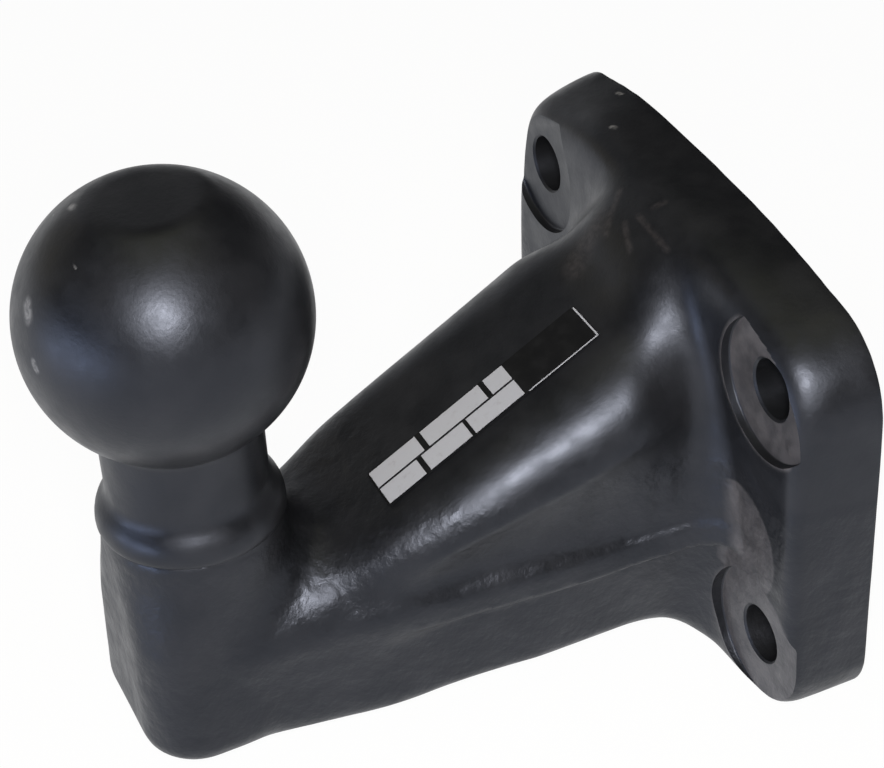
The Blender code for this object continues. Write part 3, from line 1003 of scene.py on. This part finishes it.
@dataclass(frozen=True)
class BlackPaint:
    """Satin black paint over forged and turned steel.

    Scuffs and the pale streak lines each have two ends and a reach, and faces are places with a
    reach, all in millimetres. The scuffs are wear. The streak lines are mostly painted highlights on
    the folds at the arm's root, with one line of trim residue on the parting ridge. The faces are the
    seats and the plate's front that face -Y, and their paler tone is painted light from the front.
    """

    deep: Point = (0.005, 0.0052, 0.006)
    light: Point = (0.010, 0.0102, 0.0115)
    tint: Point = (0.74, 0.81, 1.0)
    specular: float = 0.47
    roughness: float = 0.41
    turned_gain: float = 0.01
    shade_grain: float = 14.0 * MM
    smudge_grain: float = 5.0 * MM
    hammer_grain: float = 3.4 * MM
    hammer_depth: float = 0.26 * MM
    fine_grain: float = 0.9 * MM
    fine_depth: float = 0.09 * MM
    turned_share: float = 0.4
    scuffed: Point = (0.17, 0.17, 0.175)
    scuffs: tuple[tuple[Point, Point, float], ...] = (
        ((2.0, -128.4, 60.2), (3.2, -128.3, 58.6), 1.9),
        ((6.7, -129.7, 52.2), (7.2, -129.6, 51.4), 1.2),
        ((-5.8, -116.8, 70.6), (-4.6, -116.6, 70.9), 1.0),
        ((-8.5, -119.2, 68.2), (7.2, -120.6, 67.7), 0.35),
        ((-22.9, -9.9, 44.8), (-22.4, -9.6, 44.9), 0.9),
        ((-34.4, -2.4, 44.0), (-33.6, -2.2, 44.1), 0.8),
    )
    # Pale tone of the streak lines: mostly painted highlights on the root's folds, one is trim residue on
    # the ridge.
    highlight_and_residue: Point = (0.022, 0.020, 0.021)
    highlight_and_residue_streaks: tuple[tuple[Point, Point, float], ...] = (
        ((-7.6, -17.0, 41.3), (-2.2, -22.6, 37.0), 1.3),
        ((-0.1, -19.8, 39.6), (5.5, -21.9, 37.8), 1.1),
        ((1.1, -17.5, 41.0), (11.3, -17.5, 39.8), 1.0),
        ((2.1, -15.0, 42.9), (2.7, -13.3, 43.8), 1.1),
        ((-6.4, -22.0, 37.5), (-4.8, -27.6, 30.5), 4.2),
        ((24.5, -31.0, -12.2), (26.0, -20.4, -12.6), 0.7),
    )
    # Paler tone on the front-facing seats and plate front: painted light from the front.
    painted_front_light: Point = (0.070, 0.066, 0.069)
    faces: tuple[tuple[Point, float], ...] = (
        ((41.5, -14.4, 28.0), 14.5), ((41.5, -14.4, -28.0), 14.5), ((-41.5, -14.4, -28.0), 14.5),
        ((36.0, -17.5, -8.0), 12.0),
    )

    def colour(self, sheet: NodeSheet) -> object:
        """Lays out the paint's tone with its scuffs, its pale streak lines (mostly painted highlights)
        and the paler tone painted on the front-facing faces as light from the front.

        Args:
            sheet: The material's nodes.

        Returns:
            The colour's socket.
        """
        shade = sheet.noise(self.shade_grain, 3.0, 0.55)
        colour = sheet.mix(sheet.ramp(shade, 0.35, 0.68), self.deep, self.light)
        broken = sheet.ramp(sheet.noise(1.1 * MM, 4.0, 0.6), 0.30, 0.66, 0.15, 1.0)
        # Scuffs are wear; the streak lines are mostly painted highlights, and one is trim residue on the
        # ridge.
        for tone, places in ((self.scuffed, self.scuffs), (self.highlight_and_residue, self.highlight_and_residue_streaks)):
            mask = 0.0
            for start, end, reach in places:
                mark = sheet.streak(metres(start), metres(end), reach * MM)
                mask = sheet.math("MAXIMUM", mask, mark)
            colour = sheet.mix(sheet.math("MULTIPLY", mask, broken), colour, tone)
        # Mask of the painted front light round the listed faces.
        mask = 0.0
        for centre, reach in self.faces:
            away = sheet.away(sheet.place, metres(centre))
            mask = sheet.math("MAXIMUM", mask, sheet.ramp(away, 0.93 * reach * MM, reach * MM, 1.0, 0.0))
        # Only faces turned to the front get this painted front light, so the seats' walls stay black.
        facing = sheet.node("SeparateXYZ", {0: sheet.node("NewGeometry").outputs["Normal"]}).outputs["Y"]
        mask = sheet.math("MULTIPLY", mask, sheet.ramp(facing, -0.97, -0.85, 1.0, 0.0))
        # Noise breaks the painted front light into patches.
        front_light_patches = sheet.ramp(sheet.noise(4.0 * MM, 4.0, 0.6), 0.3, 0.7, 0.45, 1.0)
        return sheet.mix(sheet.math("MULTIPLY", mask, front_light_patches), colour, self.painted_front_light)

    def build(self, ball: CouplingBall) -> bpy.types.Material:
        """Makes the material.

        Args:
            ball: The turned ball; it and the rear face are smoother than the forged skin.

        Returns:
            The material.
        """
        sheet = NodeSheet(bpy.data.materials.new("black_paint"))
        foot = ball.layout.ball_height - ball.neck_drop
        turned = sheet.level("Z", foot - 8.0 * MM, foot - 4.0 * MM)
        turned = sheet.math("MAXIMUM", turned, sheet.level("Y", -0.3 * MM, -0.1 * MM))
        forged = sheet.math("SUBTRACT", 1.0, turned)
        smudge = sheet.noise(self.smudge_grain, 3.0, 0.6)
        gloss = sheet.ramp(smudge, 0.3, 0.7, self.roughness - 0.04, self.roughness + 0.06)
        sheet.feed(sheet.shader, {
            "Base Color": self.colour(sheet),
            "Roughness": sheet.math("SUBTRACT", gloss, sheet.math("MULTIPLY", turned, self.turned_gain)),
            "Specular IOR Level": self.specular,
            "Specular Tint": (*self.tint, 1.0),
        })
        hammer = sheet.noise(self.hammer_grain, 2.0, 0.5)
        sheet.bump(sheet.math("MULTIPLY", hammer, forged), self.hammer_depth)
        keep = sheet.math("MULTIPLY", forged, 1.0 - self.turned_share)
        keep = sheet.math("ADD", keep, self.turned_share)
        fine = sheet.noise(self.fine_grain, 3.0, 0.65)
        sheet.bump(sheet.math("MULTIPLY", fine, keep), self.fine_depth)
        return sheet.owner


@dataclass(frozen=True)
class LabelPrint:
    """One printed tone of the rating label, with its patches of wear."""

    name: str
    ink: Point
    faded: Point
    grain: float
    wear: Pair
    roughness: Pair
    specular: float
    depth: float

    def build(self) -> bpy.types.Material:
        """Makes the material."""
        sheet = NodeSheet(bpy.data.materials.new(self.name))
        wear = sheet.noise(self.grain, 4.0, 0.6)
        sheet.feed(sheet.shader, {
            "Base Color": sheet.mix(sheet.ramp(wear, *self.wear), self.ink, self.faded),
            "Roughness": sheet.ramp(wear, 0.3, 0.7, *self.roughness),
            "Specular IOR Level": self.specular,
        })
        sheet.bump(sheet.noise(1.2 * MM, 2.0, 0.5), self.depth)
        return sheet.owner


LABEL_FOIL = LabelPrint(
    name="label_foil", ink=(0.004, 0.0042, 0.005), faded=(0.006, 0.0063, 0.0075), grain=2.5 * MM,
    wear=(0.45, 0.75), roughness=(0.40, 0.54), specular=0.22, depth=0.02 * MM,
)
FIELD_PRINT = LabelPrint(
    name="field_print", ink=(0.35, 0.36, 0.40), faded=(0.28, 0.28, 0.30), grain=1.6 * MM,
    wear=(0.55, 0.85), roughness=(0.40, 0.53), specular=0.5, depth=0.01 * MM,
)


# Pieces


@dataclass(frozen=True)
class SoftZone:
    """A join that the dies round off: its place, its reach and how many rounds it is evened for."""

    u: float
    z: float
    reach: float
    rounds: int
    across: bool = True


@dataclass
class ForgedBody:
    """The whole forging: rough sections melted together, then turned and machined."""

    arm: WedgeArm
    machining: Machining
    relief: ForgedRelief
    cell: float = 0.73 * MM
    sharp_angle: float = 32.0
    even_rounds: int = 8
    even_back: float = 0.52
    zone_gain: float = 1.6

    def rough(self) -> bpy.types.Object:
        """Melts block, arm and flange into one even skin."""
        joined = bmesh.new()
        for part in (self.arm.flange.build(), self.arm.build(), self.arm.block.build()):
            joined.from_mesh(part.data)
            bpy.data.objects.remove(part, do_unlink=True)
        mesh = bpy.data.meshes.new("forged_skin")
        joined.to_mesh(mesh)
        joined.free()
        skin = add_object("forged_skin", mesh)
        melt = skin.modifiers.new("melt", "REMESH")
        melt.mode = "VOXEL"
        melt.voxel_size = self.cell
        bake_modifiers(skin)
        return skin

    def zones(self) -> list[SoftZone]:
        """The joins, from the neck's foot to the flange's low edge."""
        top = self.arm.block.top
        return [
            SoftZone(20.0 * MM, top - 6.0 * MM, 11.0 * MM, 30, across=False),
            SoftZone(15.0 * MM, top - 15.0 * MM, 11.0 * MM, 280),
            SoftZone(12.0 * MM, self.arm.block.low, 12.0 * MM, 30),
            SoftZone(self.arm.end, 37.0 * MM, 11.0 * MM, 130),
            SoftZone(self.arm.end, -44.0 * MM, 9.0 * MM, 25),
        ]

    def soften(self, mesh: bpy.types.Mesh) -> None:
        """Evens the skin and rounds the joins as a die does."""
        points = read_rows(mesh.vertices, "co")
        relax(mesh, np.ones(len(points)), self.even_rounds, self.even_back)
        for zone in self.zones():
            place = (0.0, zone.u - self.arm.reach, zone.z)
            weight = near(points * (0.0 if zone.across else 1.0, 1.0, 1.0), place, zone.reach)
            relax(mesh, np.clip(self.zone_gain * weight, 0.0, 1.0), zone.rounds)

    def build(self, paint: bpy.types.Material) -> bpy.types.Object:
        """Makes the body and hides the plain solid that it stands for.

        Args:
            paint: The finish.

        Returns:
            The body.
        """
        body = self.rough()
        body.name = "forged_tow_ball"
        self.soften(body.data)
        self.relief.apply(body.data)
        self.machining.cut(body)
        combine(body, self.arm.block.ball.build_ball(), Cut.JOIN)
        body.data.materials.clear()
        body.data.materials.append(paint)
        body.data.shade_smooth()
        body.data.set_sharp_from_angle(angle=math.radians(self.sharp_angle))
        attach(body, BODY)
        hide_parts("forged_body")
        LOG.info("forged body: %d faces", len(body.data.polygons))
        return body


@dataclass
class RatingLabel:
    """Foil on the arm's top, with six blank printed fields and two thin trims.

    Each field has its name and, in millimetres from the foil's corner, its ends across and along the
    foil.
    """

    arm: WedgeArm
    node: bpy.types.Object
    foil: float = 0.6 * MM
    lift: float = 0.03 * MM
    thickness: float = 0.05 * MM
    fields: tuple[tuple[str, Pair, Pair], ...] = (
        ("label_field_1", (0.25, 4.65), (0.3, 10.8)),
        ("label_field_2", (0.25, 4.65), (12.0, 25.4)),
        ("label_field_3", (0.25, 4.65), (26.5, 30.9)),
        ("label_field_4", (5.2, 9.6), (0.3, 8.6)),
        ("label_field_5", (5.2, 9.6), (9.7, 19.1)),
        ("label_field_6", (5.2, 9.6), (19.9, 30.9)),
        ("label_trim_1", (0.4, 9.9), (47.2, 47.5)),
        ("label_trim_2", (9.7, 9.95), (31.8, 47.5)),
    )

    def field_piece(self, name: str, across: Pair, along: Pair) -> bpy.types.Object:
        """One printed field as a thin plate on the foil."""
        low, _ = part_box(self.node.name)
        reach = self.arm.reach
        rise = math.hypot(1.0, self.arm.slope)
        x0, x1 = (low.x + value * MM for value in across)
        rings = []
        for k in range(7):
            s = (along[0] + (along[1] - along[0]) * k / 6.0) * MM
            u = low.y + reach + s / rise
            base = self.arm.plane(u) + (self.foil + self.lift) * rise
            top = base + self.thickness * rise
            y = u - reach
            rings.append([(x1, y, base), (x1, y, top), (x0, y, top), (x0, y, base)])
        return loft(name, rings)

    def dress(self, foil: bpy.types.Material, print_white: bpy.types.Material) -> None:
        """Gives the foil its finish and lays the fields on it.

        Args:
            foil: The foil's finish.
            print_white: The fields' finish.
        """
        self.node.data.materials.clear()
        self.node.data.materials.append(foil)
        for name, across, lengthwise in self.fields:
            piece = self.field_piece(name, across, lengthwise)
            piece.data.materials.append(print_white)
            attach(piece, BODY)
        LOG.info("rating label: foil, six blank fields and two trim lines")


# Studio


@dataclass
class Lamp:
    """One soft rectangular lamp."""

    name: str
    place: Point
    aim: Point
    size: Pair
    power: float
    colour: Point = (1.0, 1.0, 1.0)

    def build(self) -> bpy.types.Object:
        """Makes the lamp."""
        data = bpy.data.lights.new(self.name, "AREA")
        data.shape = "RECTANGLE"
        data.size = self.size[0]
        data.size_y = self.size[1]
        data.energy = self.power
        data.color = self.colour
        lamp = add_object(self.name, data)
        lamp.location = self.place
        lamp.rotation_euler = (Vector(self.aim) - Vector(self.place)).to_track_quat("-Z", "Y").to_euler()
        return lamp


@dataclass
class Studio:
    """Pale floor, soft lamps and the camera."""

    camera_place: Point = (0.31305, -0.19031, 0.27272)
    camera_right: Point = (0.4243, 0.9043, -0.0477)
    camera_up: Point = (-0.5280, 0.2898, 0.7983)
    camera_back: Point = (0.7357, -0.3135, 0.6004)
    lens: float = 96.91
    sensor: float = 36.0
    middle: Point = (0.0, -0.05, 0.0)
    floor_half: float = 6.0
    floor_tone: float = 0.90
    floor_glow: float = 0.96
    horizon_end: float = 0.03
    ceiling: Point = (0.02, 0.021, 0.026)

    def build_camera(self) -> None:
        """Places the camera where the photograph was taken."""
        data = bpy.data.cameras.new("camera")
        data.lens = self.lens
        data.sensor_width = self.sensor
        data.clip_start = 0.01
        data.clip_end = 100.0
        camera = add_object("camera", data)
        axes = Matrix((self.camera_right, self.camera_up, self.camera_back)).transposed().to_4x4()
        camera.matrix_world = Matrix.Translation(self.camera_place) @ axes
        bpy.context.scene.camera = camera
        bpy.context.scene.view_settings.view_transform = "Standard"

    def build_floor(self, height: float) -> None:
        """Lays a pale floor that reads as white and still takes the shadow."""
        signs = ((-1, -1), (1, -1), (1, 1), (-1, 1))
        corners = [(x * self.floor_half, y * self.floor_half, height) for x, y in signs]
        floor = new_object("studio_floor", np.array(corners), [(0, 1, 2, 3)])
        sheet = NodeSheet(bpy.data.materials.new("floor_paper"))
        tone = (*[self.floor_tone] * 3, 1.0)
        sheet.feed(sheet.shader, {"Base Color": tone, "Roughness": 0.9, "Specular IOR Level": 0.1})
        path = sheet.node("LightPath").outputs
        seen = sheet.math("MAXIMUM", path["Is Camera Ray"], path["Is Glossy Ray"])
        seen = sheet.math("MAXIMUM", seen, path["Is Transmission Ray"])
        share = sheet.math("MULTIPLY", seen, self.floor_glow)
        glow = sheet.node("Emission", {"Color": (1.0, 1.0, 1.0, 1.0)})
        mixed = sheet.node("MixShader", {0: share, 1: sheet.shader.outputs[0], 2: glow.outputs[0]})
        end = next(n for n in sheet.tree.nodes if n.type == "OUTPUT_MATERIAL")
        sheet.feed(end, {"Surface": mixed.outputs[0]})
        floor.data.materials.append(sheet.owner)
        floor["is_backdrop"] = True

    def build_world(self) -> None:
        """Pale horizon under a darker ceiling."""
        world = bpy.data.worlds.new("studio_world")
        bpy.context.scene.world = world
        sheet = NodeSheet(world, "Background")
        split = sheet.node("SeparateXYZ", {0: sheet.node("TexCoord").outputs["Generated"]})
        ramp = sheet.node("ValToRGB", {0: split.outputs["Z"]})
        stops = ((0.0, (1.0, 1.0, 1.0)), (self.horizon_end, self.ceiling))
        for element, (place, tone) in zip(ramp.color_ramp.elements, stops):
            element.position = place
            element.color = (*tone, 1.0)
        sheet.feed(sheet.shader, {"Color": ramp.outputs[0], "Strength": 1.0})

    def build_lamps(self) -> None:
        """Sets the lamps."""
        lamps = [
            Lamp("flash", (0.345, -0.205, 0.305), self.middle, (0.09, 0.09), 3.1, (1.0, 0.96, 0.91)),
            Lamp("low_strip", (0.1, -1.0, -0.02), self.middle, (0.8, 0.04), 3.0, (0.62, 0.74, 1.0)),
            Lamp("ceiling", (0.0, -0.05, 1.0), self.middle, (0.8, 0.8), 1.3, (1.0, 0.94, 0.55)),
            Lamp("left_lamp", (-1.0, -0.05, 0.35), self.middle, (0.7, 0.5), 0.5),
            Lamp("front_left_lamp", (-0.75, -0.75, 0.35), self.middle, (0.7, 0.5), 0.4, (1.0, 0.88, 0.6)),
        ]
        for lamp in lamps:
            lamp.build()


def main() -> None:
    """Builds the pieces in order."""
    logging.basicConfig(level=logging.INFO, format="%(name)s: %(message)s")
    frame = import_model()
    cad_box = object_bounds()
    layout = Layout.from_record(frame["record"])
    ball = CouplingBall(layout)
    arm = WedgeArm(BaseBlock(ball), FlangePlate(layout))
    body = ForgedBody(arm, Machining(layout), ForgedRelief(arm))
    body.build(BlackPaint().build(ball))
    label = RatingLabel(arm, frame["nodes"]["rating_label"])
    label.dress(LABEL_FOIL.build(), FIELD_PRINT.build())
    studio = Studio()
    studio.build_camera()
    studio.build_floor(cad_box[0][2] - 0.3 * MM)
    studio.build_world()
    studio.build_lamps()


if __name__ == "__main__":
    main()
